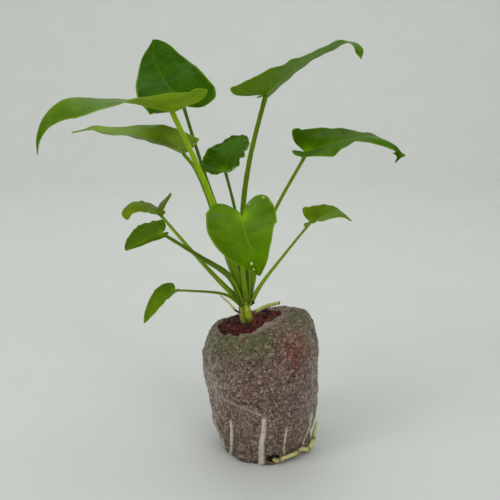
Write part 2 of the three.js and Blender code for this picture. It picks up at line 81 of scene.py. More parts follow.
# The torn notch at the foot, and the room that the fleece leaves round the root
NOTCH_AT = np.array([1, -18.4, 4])
NOTCH_SIZE = np.array([3.5, 3.4, 2.8])
ROOT_ROOM = 0.3

# What shows through the fleece, and the patches of painted sheen on it: centre, size and strength of each
# spot
TINTS = {
    "algae": [((-4.5, -21, 58.5), (5, 7, 5), 1.25), ((-19, -16, 57), (10, 12, 6), 0.9),
              ((-25, 4, 50), (9, 18, 10), 0.55), ((14, -5, 66), (12, 13, 7), 0.8),
              ((0, 22, 52), (22, 8, 8), 0.5)],
    "red": [((11.8, -20, 55), (6.5, 9, 9), 1), ((-9, -29, 38), (5, 7, 6), 0.35),
            ((-27, -5, 20), (8, 9, 8), 0.5), ((12, 22, 30), (12, 9, 10), 0.5)],
    "lilac": [((17, -15, 33), (9, 12, 15), 1), ((-2, -27, 14), (13, 9, 8), 0.35),
              ((-18, 20, 28), (12, 9, 14), 0.7)],
    "dark": [((11.5, -22, 35), (2, 6, 3), 1), ((-20, -18, 44), (3, 5, 3), 0.5)],
    # Painted sheen: the fleece drawn paler on the plug's sides and in a few patches, as its fuzz catching
    # the light.
    "painted_sheen": [((26, -10, 30), (8, 14, 22), 1), ((-27, -10, 34), (7, 14, 22), 1),
              ((6, 26, 34), (22, 8, 18), 0.8), ((20, -8, 60), (6, 10, 5), 0.3)],
}

SLEEVE_FIBRES = 3000
COIR_FIBRES = 420
COIR_LUMPS = 420
CRUMBS = 420
STUCK_CRUMB = (-7.2, -3.4, 71.4)
STUCK_CRUMB_SIZE = 0.75

# Each leaf as in the part: stalk and its radii, rib, the way the upper face looks at the base and the tip,
# each half's width, raise and share of the rear lobe, the lobe's reach and rise, and the tip's fullness.
# veins counts each half's side veins, and tones are those of the upper face, the underside and the stalk.
# crinkle is the height of the margin's fine waves, flecks are pale bites by share of the margin, place out
# and size, and shade says over which share of the stalk the painted shade at its foot ends, where the
# stalks crowd at the crown, and how dark it is.
LEAVES = {
    "top_right": dict(
        stalk=[(-9.1, 0, 70.5), (-9, 1, 87.5), (-11.7, 3, 111), (-9.2, 4.5, 132), (-6.4, 5.5, 144.5),
               (-1.8, 6, 161.8)], radii=[1.5, 1.6, 1.25, 1.1, 1, 0.95],
        rib=[(-1.8, 6, 162.4), (6, 6, 169.5), (14.6, 6, 175.6), (23, 5, 180.6), (30.5, 3, 183.6),
             (35.6, 1, 181.6), (37.5, 0, 176.4)], up=[(-0.5, 0, 0.85), (-0.2, 0, 1)],
        right=(16, [34, 13, 8, 4, 0], 1), left=(15, [-6, -10, -8, 0], 0.45), lobe=(11, 26),
        point=(0.85, 0.85), veins=7, gloss=0.12, tones=[(80, 120, 14), (94, 130, 16), (92, 124, 0)]),
    "top_left": dict(
        stalk=[(-11.7, -1, 71.5), (-17, -3, 92), (-25.6, -6.5, 120.6), (-31, -10, 135),
               (-39.6, -15, 155.3)], radii=[1.6, 2, 1.3, 1.15, 1.05],
        rib=[(-39.8, -15, 155.8), (-48.1, -18, 158), (-56.1, -21, 160), (-66.2, -25, 161),
             (-78.9, -29, 160.8), (-86.3, -31, 154.4), (-89.1, -32.5, 147), (-89.4, -33, 140.4)],
        up=[(0, 0, 1), (-0.8, -0.2, 0.5)], right=(17, [12, -2, -16, -20, -16], 1),
        left=(20, [26, 10, -12, -38, -44, -38], 1), lobe=(10, 24), point=(1, 1), veins=8,
        # Its underside tone is partly the underside's own paler green and partly painted light shining
        # through.
        shade=(0.25, 0.5, 0.52), tones=[(74, 110, 8), (124, 154, 10), (150, 184, 4)]),
    "upright_left": dict(
        stalk=[(-10.9, 2, 71.5), (-16.3, 4.5, 93.8), (-24.7, 7.5, 116), (-31.3, 11, 135.2),
               (-37.9, 13, 157)], radii=[1.2, 1, 0.8, 0.75, 0.7],
        rib=[(-38.1, 13.4, 157.6), (-43.3, 18, 163.2), (-48.4, 25, 169.3), (-52.7, 32, 176.9),
             (-54.2, 40, 186.3)], up=[(0.05, -0.7, 0.7), (0.1, -0.7, 0.65)], right=(16.6, [8, 4, 4], 1),
        left=(17.4, [17, 8, 10], 0.3), lobe=(6.5, 0), point=(0.42, 1.15), veins=7, gloss=0.04,
        tones=[(45, 84, 0), (74, 114, 0), (66, 98, 4)]),
    "mid_left": dict(
        stalk=[(-12.2, 1.5, 71.5), (-19.3, 1.5, 92.2), (-27.3, 0.5, 119), (-32.7, 0, 131.7),
               (-37, -0.5, 137.4)], radii=[1.1, 1, 0.85, 0.8, 0.75],
        rib=[(-37.2, -0.5, 137.9), (-47.1, 1, 142), (-57.1, 3, 145), (-69.1, 5, 146.4), (-77, 6, 147.4),
             (-86.2, 6, 145.9)], up=[(0, 0, 1), (-0.1, -0.1, 1)], right=(13, [30, 22, 10, 4], 1),
        left=(10.5, [16, 2, 0, 2], 1), lobe=(3.5, 30), point=(1, 1), veins=7,
        tones=[(104, 134, 4), (107, 136, 0), (112, 146, 4)]),
    "centre_small": dict(
        stalk=[(-10.4, 3, 71.5), (-12.7, 7, 97.8), (-15.8, 11, 113), (-19.7, 15, 127.6)],
        radii=[1.1, 0.85, 0.7, 0.65],
        rib=[(-19.9, 15, 128), (-17.8, 20, 133.5), (-14.8, 26, 138.6), (-12, 32, 143)],
        up=[(-0.2, -0.75, 0.6), (-0.2, -0.6, 0.7)], right=(10, [40, 24, 14], 1), left=(12, [8, 6, 6], 1),
        lobe=(4.5, 25), point=(0.6, 0.7),
        flecks=[(0.2, 0.93, 0.7), (0.27, 0.86, 0.5), (0.33, 0.95, 0.6), (0.4, 0.9, 0.5)], crinkle=0.5,
        veins=6, gloss=0.08, tones=[(58, 98, 0), (84, 122, 4), (90, 124, 2)]),
    "mid_right": dict(
        stalk=[(-8.6, 2.5, 72), (-3.7, 3.5, 96.3), (2.5, 4, 112), (15.9, 4, 137)],
        radii=[1.1, 0.9, 0.8, 0.75],
        rib=[(16.1, 4, 137.6), (24.5, 2, 141), (34, 0, 143.4), (43.2, -3, 144.6), (50.5, -4.5, 142),
             (54, -5.5, 138.6), (52.4, -6, 134.2)], up=[(-0.35, -0.05, 1), (0.2, 0, 1)],
        right=(13, [6, -18, 2, -14, -16], 1), left=(13, [46, 24, 2, 0, -4], 1), lobe=(5, 34),
        point=(0.75, 0.75), veins=7, gloss=0.04, tones=[(66, 102, 2), (96, 130, 6), (118, 140, 24)]),
    "small_right": dict(
        stalk=[(-8.4, -2.2, 70.3), (-3.7, -2.8, 79.6), (8.9, -4.2, 97.1), (17.3, -5, 108.1)],
        radii=[1, 0.75, 0.6, 0.55],
        rib=[(17.6, -5, 108.9), (22.9, -8, 112), (28.4, -11, 113.4), (34.1, -13, 110.8)],
        up=[(-0.5, -0.1, 1), (0.2, -0.1, 1)], right=(7, [12, -8, -4], 0.3), left=(7, [50, 26, 6, 0], 1),
        lobe=(2.6, 30), point=(0.9, 0.9), veins=5, tones=[(96, 126, 2), (104, 136, 8), (126, 154, 26)]),
    "front_heart": dict(
        stalk=[(-10.4, -3, 72.5), (-12.1, -6.5, 91), (-12, -12, 103.5), (-11.7, -22.4, 114.4)],
        radii=[1.3, 1.1, 0.95, 0.85],
        rib=[(-11.6, -23.4, 114.6), (-10.8, -30, 110), (-8.2, -36, 104.6), (-5.9, -39, 99.5),
             (-4.7, -40, 94.6)], up=[(0, -0.62, 0.78), (0, -0.95, 0.2)], right=(14.8, [12, 6, 4], 0.72),
        left=(13.4, [8, 4, 2], 1.3), lobe=(8, 0), point=(0.8, 0.9),
        flecks=[(0.3, -0.9, 0.6), (0.36, -0.97, 0.5), (0.2, -0.6, 0.45), (0.85, 0.5, 0.7), (0.9, 0.7, 0.5)],
        veins=6, tones=[(78, 116, 0), (104, 140, 4), (120, 152, 14)]),
    "low_left_upper": dict(
        stalk=[(-12.7, -0.5, 71), (-20.6, -2, 79.3), (-33.7, -6.5, 96), (-46.4, -10, 112.6)],
        radii=[1.2, 1, 0.75, 0.65],
        rib=[(-46.6, -10, 113.1), (-50.3, -12, 115.4), (-54.2, -14, 116.3), (-57, -15.5, 116),
             (-58.6, -17, 114.7), (-58.9, -18, 112.3)], up=[(0.2, 0, 1), (-0.3, -0.5, 0.8)],
        right=(6, [16, 8, 2], 1), left=(3.4, [-8, -12, -14], 0.3), lobe=(8.6, 80), point=(0.45, 0.6),
        veins=5, tones=[(112, 136, 20), (110, 132, 18), (136, 168, 30)]),
    "low_left_lower": dict(
        stalk=[(-12.2, -2.5, 72), (-17, -5, 83.5), (-30.7, -12, 95.5), (-44, -22.6, 107.3)],
        radii=[1.4, 1.3, 0.85, 0.65],
        rib=[(-44.4, -23, 107.7), (-48.4, -27, 106.9), (-52.8, -30.5, 105.2), (-57.3, -34, 103.2)],
        up=[(-0.2, -0.7, 0.7), (-0.2, -0.7, 0.7)], right=(8, [2, 4, 6], 1),
        left=(1.9, [-50, -60, -50], 0.6), lobe=(4.6, 10), point=(0.6, 0.7), crinkle=0.35, veins=5,
        tones=[(74, 104, 8), (92, 126, 14), (88, 118, 8)]),
    "lowest_left": dict(
        stalk=[(-12.2, -2, 69.5), (-18.8, -6, 75.9), (-34, -19, 82), (-39.6, -23.6, 83.6)],
        radii=[0.8, 0.6, 0.5, 0.45],
        rib=[(-40, -24, 83.5), (-43.6, -28, 82.6), (-47.7, -32, 79), (-51.1, -35, 73.5)],
        up=[(-0.3, -0.75, 0.5), (-0.4, -0.75, 0.4)], right=(4.7, [14, 8, 8], 1),
        left=(3.8, [44, 16, 6], 0.3), lobe=(2, 0), point=(0.8, 0.6), veins=5,
        tones=[(86, 116, 2), (98, 134, 8), (104, 132, 14)]),
}
# Half of a heart-shaped outline from the notch round to the tip: out by half-width, along by the rib
HEART = np.array([(0, 0), (0.12, -0.5), (0.42, -1), (0.78, -0.9), (0.98, -0.25), (1, 0.16), (0.86, 0.36),
                  (0.6, 0.58), (0.32, 0.78), (0.12, 0.91), (0, 1)])
VEIN_START = 0.36
RIPPLES = 3.5
RIPPLE_HEIGHT = 0.7
RIPPLE_PHASES = (2.2, 0.8)
VEIN_WIDTH = 0.34
RIB_WIDTH = 0.75
HALF_BLADE = 0.31
HALF_MARGIN = 0.12


# Numbers

def smooth(low, high, x):
    """0 up to low, 1 from high on, and a soft step between them."""
    t = np.clip((np.asarray(x, float) - low) / (high - low), 0, 1)
    return t * t * (3 - 2 * t)


def bell(x, width):
    return np.exp(-(x / width) ** 2)


def turn_from(centre, angle):
    """The turn from one angle to another in radians, the shorter way round."""
    return np.mod(angle - centre + math.pi, TAU) - math.pi


def turns(count):
    return np.arange(count) / count * TAU


def grid(rows, columns):
    return np.meshgrid(rows, columns, indexing="ij")


def even(values, t):
    """A value read at t from a list spread evenly over 0 to 1."""
    return np.interp(t, np.linspace(0, 1, len(values)), values)


def unit(v):
    return v / np.maximum(np.linalg.norm(v, axis=-1, keepdims=True), 1e-12)


def waves(points, size, seed, count=8):
    """Smooth unevenness, about -1 to 1, with bumps as wide as size."""
    draw = np.random.default_rng(seed)
    total = 0
    for _ in range(count):
        way = unit(draw.normal(size=3))
        total = total + np.sin(points @ way * TAU / (size * draw.uniform(0.8, 1.9)) + draw.uniform(0, TAU))
    return total / math.sqrt(count)


def bent(p, q, leave, arrive, w):
    """A smooth curve from p to q, read at share w, with its speeds at both ends."""
    twist = 2 * p - 2 * q + leave + arrive
    return (twist * w + (3 * q - 3 * p - 2 * leave - arrive)) * w * w + leave * w + p


def spline(rows, t):
    """Rows of numbers read along a smooth curve through them, evenly spread over 0 to 1."""
    place = np.clip(np.asarray(t, float), 0, 1) * (len(rows) - 1)
    i = np.minimum(place.astype(int), len(rows) - 2)
    p0, p1, p2, p3 = rows[np.maximum(i - 1, 0)], rows[i], rows[i + 1], rows[np.minimum(i + 2, len(rows) - 1)]
    return bent(p1, p2, (p2 - p0) / 2, (p3 - p1) / 2, (place - i)[..., None])


def lengths_along(line):
    return np.concatenate([[0], np.cumsum(np.linalg.norm(np.diff(line, axis=0), axis=1))])


class Path:
    """A curve through points that is read by its share of length."""

    def __init__(self, points):
        pts = np.array(points, float)
        pts = np.vstack([2 * pts[0] - pts[1], pts, 2 * pts[-1] - pts[-2]])
        s = np.linspace(0, 1, 80, endpoint=False)[:, None]
        line = []
        for p0, p1, p2, p3 in zip(pts, pts[1:], pts[2:], pts[3:]):
            d0, d1, d2 = [max(np.linalg.norm(b - a) ** 0.5, 1e-4) for a, b in ((p0, p1), (p1, p2), (p2, p3))]
            leave = ((p1 - p0) / d0 - (p2 - p0) / (d0 + d1) + (p2 - p1) / d1) * d1
            arrive = ((p2 - p1) / d1 - (p3 - p1) / (d1 + d2) + (p3 - p2) / d2) * d1
            line.append(bent(p1, p2, leave, arrive, s))
        self.line = np.vstack([*line, pts[-2]])
        lengths = lengths_along(self.line)
        self.length = lengths[-1]
        self.share = lengths / self.length

    def at(self, t):
        return np.stack([np.interp(t, self.share, self.line[:, k]) for k in range(3)], axis=-1)

    def way(self, t, reach):
        return unit(self.at(np.minimum(t + reach, 1)) - self.at(np.maximum(t - reach, 0)))


def carried(ways):
    """Side directions carried along a path without twist."""
    axis = np.eye(3)[np.argmin(np.abs(ways[0]))]
    sides = [unit(np.cross(ways[0], np.cross(ways[0], axis)))]
    for way in ways[1:]:
        sides.append(unit(sides[-1] - way * (sides[-1] @ way)))
    return sides, np.cross(ways, sides)


# Meshes

def add_object(name, data):
    obj = bpy.data.objects.new(name, data)
    bpy.context.scene.collection.objects.link(obj)
    return obj


def add_mesh(name, points, faces, shade_smooth=True):
    mesh = bpy.data.meshes.new(name)
    mesh.from_pydata((np.asarray(points) * MM).tolist(), [], faces)
    if shade_smooth:
        mesh.polygons.foreach_set("use_smooth", [True] * len(mesh.polygons))
    return add_object(name, mesh)


def make(name, points, faces, material, nodes=(), values=()):
    """A piece of the plant, with the numbers for each point that its material reads."""
    obj = add_mesh(name, points, faces)
    for key, value in dict(values).items():
        attribute = obj.data.attributes.new(key, "FLOAT", "POINT")
        attribute.data.foreach_set("value", np.asarray(value, np.float32))
    obj.data.materials.append(material)
    obj.data.update()
    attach(obj, "root")
    if nodes:
        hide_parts(*nodes)
    return obj


def round_pairs(sides):
    return [(j, (j + 1) % sides) for j in range(sides)]


def ring_faces(rings, sides):
    return [(i + j, i + k, i + sides + k, i + sides + j)
            for i in range(0, (rings - 1) * sides, sides) for j, k in round_pairs(sides)]


def closed(rings, ends):
    """Points and faces of rings that are closed by a fan to a point at each end."""
    sides = len(rings[0])
    count = len(rings) * sides
    last = count - sides
    faces = ring_faces(len(rings), sides) + [(count, k, j) for j, k in round_pairs(sides)]
    faces += [(count + 1, last + j, last + k) for j, k in round_pairs(sides)]
    return np.vstack([*rings, *ends]), faces


def copies(faces, count, points):
    """The faces of many equal forms, each with so many points."""
    return [tuple(c * points + k for k in face) for c in range(count) for face in faces]


def tube(path, radius, steps, sides, flat=1.0):
    """A closed tube with rounded ends: its points, faces, and each point's share of length and angle, which
    radius takes as well."""
    t = np.linspace(0, 1, steps + 1)
    ways, middle = path.way(t, 0.01), path.at(t)
    side, other = carried(ways)
    angle = turns(sides)
    reach = radius(*grid(t, angle))
    rows = [(0, 0.35, -0.5), (0, 0.78, -0.3), *((k, 1, 0) for k in range(steps + 1)),
            (steps, 0.78, 0.3), (steps, 0.35, 0.5)]
    rings = []
    for k, shrink, ahead in rows:
        across, along = np.cos(angle) * reach[k] * shrink, np.sin(angle) * reach[k] * shrink * flat
        rings.append(middle[k] + ways[k] * ahead * reach[k].mean() * flat + side[k] * across[:, None]
                     + other[k] * along[:, None])
    shares = np.append(np.repeat([t[k] for k, _, _ in rows], sides), [0, 1])
    angles = np.append(np.tile(angle, len(rings)), [0, 0])
    return *closed(rings, [rings[0].mean(0), rings[-1].mean(0)]), shares, angles


def ball(detail):
    """A round form's points on the unit sphere and its triangles."""
    shape = bmesh.new()
    bmesh.ops.create_icosphere(shape, subdivisions=detail, radius=1)
    shape.verts.index_update()
    points = np.array([v.co[:] for v in shape.verts])
    faces = [tuple(v.index for v in face.verts) for face in shape.faces]
    shape.free()
    return points, faces


def cut_out(obj, points, faces):
    """Takes a closed form away from a piece."""
    cutter = add_mesh("cutter", points, faces, shade_smooth=False)
    modifier = obj.modifiers.new("cut", "BOOLEAN")
    modifier.operation = "DIFFERENCE"
    modifier.solver = "EXACT"
    modifier.object = cutter
    bpy.context.view_layer.objects.active = obj
    bpy.ops.object.modifier_apply(modifier=modifier.name)
    mesh = cutter.data
    bpy.data.objects.remove(cutter)
    bpy.data.meshes.remove(mesh)


# Materials

def tone(colour, gain=1.0):
    """A colour as seen on a screen, 0 to 255, as the linear numbers that shaders take."""
    linear = [(c / 255 / 12.92 if c <= 10 else ((c / 255 + 0.055) / 1.055) ** 2.4) for c in colour]
    return (*[min(c * gain, 1) for c in linear], 1)


class Shade:
    """A material on one Principled shader, with small helpers for its nodes. Sizes are in millimetres."""

    def __init__(self, name):
        self.material = bpy.data.materials.new(name)
        self.material.use_nodes = True
        self.tree = self.material.node_tree
        self.shader = self.tree.nodes["Principled BSDF"]
        self.place = self.add("TexCoord", "Object")

    def feed(self, socket, value):
        if isinstance(value, bpy.types.NodeSocket):
            self.tree.links.new(value, socket)
        else:
            socket.default_value = value

    def add(self, kind, output, inputs=(), **settings):
        node = self.tree.nodes.new("ShaderNode" + kind)
        for key, value in settings.items():
            setattr(node, key, value)
        for key, value in dict(inputs).items():
            self.feed(node.inputs[key], value)
        return node.outputs[output]

    def done(self, colour, rough, normal=None, glow=None, **values):
        """Fills in the shader and gives the material. glow is the subsurface weight, radius and scale."""
        values.update(Base_Color=colour, Roughness=rough)
        if normal is not None:
            values["Normal"] = normal
        if glow is not None:
            values.update(zip(("Subsurface_Weight", "Subsurface_Radius", "Subsurface_Scale"), glow))
        for key, value in values.items():
            self.feed(self.shader.inputs[key.replace("_", " ")], value)
        return self.material

    def stretched(self, x, y, z):
        return self.add("Mapping", "Vector", {"Vector": self.place, "Scale": (x, y, z)})

    def noise(self, size, detail=2.0, rough=0.5, distortion=0.0, place=None):
        return self.add("TexNoise", "Fac", {
            "Vector": place or self.place, "Scale": 1 / (size * MM), "Detail": detail, "Roughness": rough,
            "Distortion": distortion})

    def cells(self, size):
        return self.add("TexVoronoi", "Distance", {"Vector": self.place, "Scale": 1 / (size * MM)},
                        feature="DISTANCE_TO_EDGE")

    def read(self, name):
        return self.add("Attribute", "Fac", attribute_name=name)

    def spread(self, value, low, high, to_low=0.0, to_high=1.0):
        return self.add("MapRange", "Result", {
            "Value": value, "From Min": low, "From Max": high, "To Min": to_low, "To Max": to_high,
        }, interpolation_type="SMOOTHSTEP")

    def calc(self, kind, a, b):
        return self.add("Math", "Value", {0: a, 1: b}, operation=kind)

    def plus(self, a, b, share=1.0):
        return self.calc("ADD", a, self.times(b, share) if share != 1 else b)

    def times(self, a, b):
        return self.calc("MULTIPLY", a, b)

    def thread(self, noise, low, high):
        """Thin winding lines where a noise crosses its middle."""
        return self.spread(self.calc("ABSOLUTE", self.calc("SUBTRACT", noise, 0.5), 0), low, high)

    def mix(self, share, a, b):
        """A mix of colours. Each is a socket, a tone, or three numbers from 0 to 255."""
        a, b = [tone(c) if isinstance(c, tuple) and len(c) == 3 else c for c in (a, b)]
        return self.add("Mix", 2, {0: share, 6: a, 7: b}, data_type="RGBA")

    def over(self, base, mask, share, colour):
        """A colour laid over another where a mask is high, by a share at most."""
        return self.mix(self.times(mask, share), base, colour)

    def bump(self, height, depth, strength):
        return self.add("Bump", "Normal", {"Height": height, "Distance": depth * MM, "Strength": strength})


def leaf_material(name, upper, under, gloss):
    s = Shade(name)
    vein, below = s.read("vein"), s.read("below")
    broad, fine = s.noise(9, 3, 0.55), s.noise(1.1, 3, 0.6)
    top = s.mix(s.spread(broad, 0.3, 0.7), tone(upper, 0.72), tone(upper, 1.12))
    top = s.over(top, s.spread(fine, 0.45, 0.75), 0.22, tone(under, 0.9))
    top = s.over(top, vein, 0.26, tone(under, 1.5))
    top = s.over(top, s.read("collar"), 0.75, tone(under, 1.6))
    low = s.mix(s.spread(broad, 0.3, 0.7), tone(under, 0.9), tone(under, 1.25))
    low = s.over(low, vein, 0.45, (158, 186, 66))
    # A pale yellow-green band along the margin: painted highlight.
    colour = s.over(s.mix(below, top, low), s.read("edge"), 0.4, (140, 172, 36))
    colour = s.mix(s.read("fleck"), colour, (196, 206, 140))
    relief = s.plus(s.cells(0.32), s.noise(0.9, 2), 0.8)
    rough = s.plus(s.spread(fine, 0.3, 0.8, 0.36, 0.52), below, 0.14)
    return s.done(colour, rough, s.bump(relief, 0.05, 0.3), (0.25, (0.7, 1.0, 0.05), 0.0008),
                  Specular_IOR_Level=gloss, Specular_Tint=(0.7, 0.92, 0.15, 1))


def stalk_material(name, colour, shade):
    s = Shade(name)
    along = s.read("along")
    streaks = s.noise(1.0, 3, 0.6, place=s.stretched(1, 1, 0.12))
    fine = s.noise(0.35, 2, 0.5)
    low, high, gain = shade
    # Darker towards the crown: painted shade where the stalks crowd together.
    base = s.mix(s.spread(along, low, high), tone(colour, gain), tone(colour, 1.08))
    base = s.over(base, s.spread(streaks, 0.35, 0.7), 0.5, tone(colour, 0.7))
    base = s.over(base, s.read("groove"), 0.6, (164, 190, 70))
    base = s.over(base, s.spread(along, 0.93, 0.98), 0.4, tone(colour, 0.8))
    relief = s.bump(s.plus(streaks, fine, 0.3), 0.08, 0.4)
    return s.done(base, s.spread(fine, 0.2, 0.8, 0.28, 0.45), relief, (0.3, (0.7, 1.0, 0.25), 0.0009),
                  Specular_IOR_Level=0.35, Specular_Tint=(0.8, 0.95, 0.35, 1))


# Leaves

def leaf_grid(leaf, u, out):
    """The blade's middle surface at shares u of the margin and out from -1 to 1, how far each point is from
    the rib, and its share along it."""
    rib = Path(leaf["rib"])
    edge = spline(HEART, u)
    ex, ey = np.maximum(edge[..., 0], 0), edge[..., 1]
    right = out >= 0
    widths, raises, lobes = zip(leaf["right"], leaf["left"])
    width = np.where(right, *widths)
    point = np.where(ey > 0, np.where(right, *leaf["point"]), 1.0)
    start = np.maximum(0, (u - VEIN_START) / (1 - VEIN_START)) ** 1.15
    x = ex ** point * np.abs(out) * width
    margin_y = np.where(ey > 0, np.maximum(ey, 0) ** (0.5 + 0.5 * point), ey)
    y = start + (margin_y - start) * np.abs(out)
    s = np.clip(y, 0, 1)
    forward = rib.way(s, 0.02)
    base, tip = np.array(leaf["up"], float)
    across = unit(np.cross(forward, base + (tip - base) * s[..., None]))
    normal = np.cross(across, forward)
    raised = np.radians(np.where(right, *(even(angles, s) for angles in raises)))
    reach, rise = leaf["lobe"][0], math.radians(leaf["lobe"][1])
    behind = -np.minimum(y, 0) * reach * np.where(right, *lobes)
    wave = RIPPLE_HEIGHT * np.sin(TAU * RIPPLES * u + np.where(right, *RIPPLE_PHASES))
    lift = x * np.sin(raised) + wave * out * out * ex * np.minimum(1, width / 14) + behind * math.sin(rise)
    spot = (rib.at(s) + across * (np.sign(out) * x * np.cos(raised))[..., None] + normal * lift[..., None]
            - forward * (behind * math.cos(rise))[..., None])
    return spot, x, y


def side_veins(leaf, u, out, seed):
    """How much of a side vein is at each place. Veins are lines of one u that bow towards the tip."""
    draw = np.random.default_rng(seed)
    a = np.abs(out)
    bowed = u - 0.045 * np.sin(math.pi * np.minimum(a * 1.05, 1)) * smooth(0.1, 0.5, u)
    step = 2e-3
    after, before = [leaf_grid(leaf, np.clip(u + change, 0, 1), out)[0] for change in (step, -step)]
    speed = np.linalg.norm(after - before, axis=-1) / (2 * step)
    veins = np.zeros_like(u)
    for k in range(leaf["veins"]):
        place = 0.1 + 0.8 * (k / (leaf["veins"] - 1)) ** 0.9
        for sign in (-1, 1):
            shifted = place + draw.uniform(-0.014, 0.014) + 0.012 * sign
            line = bell((bowed - shifted) * speed, VEIN_WIDTH * (1 - 0.6 * a)) * (np.sign(out) == sign)
            veins = np.maximum(veins, line * (1 - smooth(0.55, 1, a)) * (0.85 if k % 2 else 1))
    return veins


def sheet_of(middle):
    """A sheet over a grid, with equal points taken once: the points taken, the one at each place, faces."""
    rounded = np.round(middle.reshape(-1, 3), 4)
    _, first, back = np.unique(rounded, axis=0, return_index=True, return_inverse=True)
    back = back.reshape(middle.shape[:2]).tolist()
    faces = []
    for row, after in zip(back, back[1:]):
        for j in range(len(row) - 1):
            corners = dict.fromkeys((row[j], row[j + 1], after[j + 1], after[j]))
            if len(corners) > 2:
                faces.append(tuple(corners))
    return first, back, faces


def sheet_normals(points, faces):
    normals = np.zeros_like(points)
    for face in map(list, faces):
        p = points[face]
        normals[face] += np.cross(p[2] - p[0], p[-1] - p[1])
    return unit(normals)


def sheet_solid(faces, loop, count):
    """Faces of a thin solid: an upper side, a lower side, and a rim along the loop between both."""
    solid = faces + [tuple(count + k for k in reversed(face)) for face in faces]
    for k, p in enumerate(loop):
        after = (k + 1) % len(loop)
        q, e, f = loop[after], 2 * count + k, 2 * count + after
        if p != q:
            solid += [(q, p, e, f), (f, e, count + p, count + q)]
    return solid


def build_leaf(name, leaf, seed):
    span = leaf["right"][0] + leaf["left"][0]
    rows, half = (150, 30) if span > 24 else (96, 20)
    u, out = grid(np.linspace(0, 1, rows + 1), np.linspace(-1, 1, 2 * half + 1))
    middle, x, y = leaf_grid(leaf, u, out)
    a = np.abs(out)
    veins = side_veins(leaf, u, out, seed)
    rib = np.where(a == 0, 1.0, bell(x, RIB_WIDTH * (1 - 0.6 * np.clip(y, 0, 1))) * (y > -0.02))

    # Relief: the face puffs up a little between the veins, and the margin waves finely
    puff = 0.16 * waves(middle, 7, seed) * (1 - veins) * (1 - rib)
    fine = np.sin(TAU * (9 * u + 0.3 * np.sin(TAU * 2 * u))) * spline(HEART, u)[..., 0]
    puff += 0.22 * smooth(0.7, 1, a) * fine
    puff += leaf.get("crinkle", 0) * smooth(0.55, 1, a) * waves(middle, 2.6, seed + 5)

    first, back, faces = sheet_of(middle)
    mid = middle.reshape(-1, 3)[first]
    a, y, veins, rib, puff = [grown.reshape(-1)[first] for grown in (a, y, veins, rib, puff)]
    normals = sheet_normals(mid, faces)
    thick = HALF_BLADE - (HALF_BLADE - HALF_MARGIN) * smooth(0.35, 1, a)
    keel = 0.12 + 0.3 * (1 - smooth(0, 0.5, np.clip(y, 0, 1)))
    upper = mid + normals * (thick + puff - 0.07 * veins - 0.16 * rib)[:, None]
    lower = mid - normals * (thick - puff + 0.07 * veins + keel * rib)[:, None]
    loop = [row[-1] for row in back] + [row[0] for row in back[-2:0:-1]]
    ring = mid[loop]
    outward = unit(np.cross(np.roll(ring, -1, axis=0) - np.roll(ring, 1, axis=0), normals[loop]))
    rim = ring + outward * 0.09 + normals[loop] * puff[loop][:, None]

    flecks = np.zeros(len(mid))
    for fleck_u, fleck_out, size in leaf.get("flecks", ()):
        centre = leaf_grid(leaf, np.array([[fleck_u]]), np.array([[fleck_out]]))[0][0, 0]
        flecks = np.maximum(flecks, 1 - smooth(0.5, 1, np.linalg.norm(mid - centre, axis=1) / size))
    vein = np.maximum(veins * 0.75, rib)
    collar = bell(np.linalg.norm(mid - leaf["rib"][0], axis=1), 0.09 * span + 0.5)
    # The margin band that takes the painted highlight.
    edge = smooth(0.93, 1, a)
    face, margin = np.zeros(len(mid)), np.zeros(len(loop))
    values = {"collar": (collar, collar, margin), "vein": (vein, vein, margin),
              "below": (face, face + 1, margin + 0.5), "edge": (edge, edge, margin + 1),
              "fleck": (flecks, flecks, flecks[loop])}
    make(f"leaf_{name}", np.vstack([upper, lower, rim]), sheet_solid(faces, loop, len(mid)),
         leaf_material(f"leaf_{name}", *leaf["tones"][:2], leaf.get("gloss", 0.22)),
         [f"blade_{name}"], {key: np.concatenate(value) for key, value in values.items()})


def build_stalk(name, leaf, seed):
    path = Path(leaf["stalk"])
    lean = np.random.default_rng(seed).uniform(0, TAU)

    def wings(angle, width):
        return sum(bell(turn_from(lean + side, angle), width) for side in (-0.75, 0.75))

    def radius(t, angle):
        r = even(leaf["radii"], t) * (1 + 0.1 * smooth(0.92, 0.97, t) * (1 - smooth(0.985, 1.0, t)))
        sheath = 1 - smooth(0.1, 0.42, t)
        r = r * (1 - (0.12 + 0.2 * sheath) * bell(turn_from(lean, angle), 0.42)
                 + (0.05 + 0.22 * sheath) * wings(angle, 0.2))
        return r * (1 + 0.025 * np.sin(t * path.length * 0.9 + seed) + 0.02 * np.sin(3 * angle + t * 9))

    points, faces, share, angle = tube(path, radius, int(path.length / 0.8), 28)
    values = {"along": share, "groove": wings(angle, 0.22) * (1 - smooth(0.1, 0.5, share))}
    material = stalk_material(f"stalk_{name}", leaf["tones"][2], leaf.get("shade", (0.02, 0.2, 0.72)))
    make(f"stalk_{name}", points, faces, material, [f"petiole_{name}"], values)


for number, (leaf_name, leaf_data) in enumerate(LEAVES.items()):
    build_leaf(leaf_name, leaf_data, 40 + number)
    build_stalk(leaf_name, leaf_data, 70 + number)


# Plug

def near(bearing, centre, spread):
    """How much of a bulge centred on a bearing in degrees is felt at others in radians."""
    return bell(turn_from(math.radians(centre), bearing), math.radians(spread))


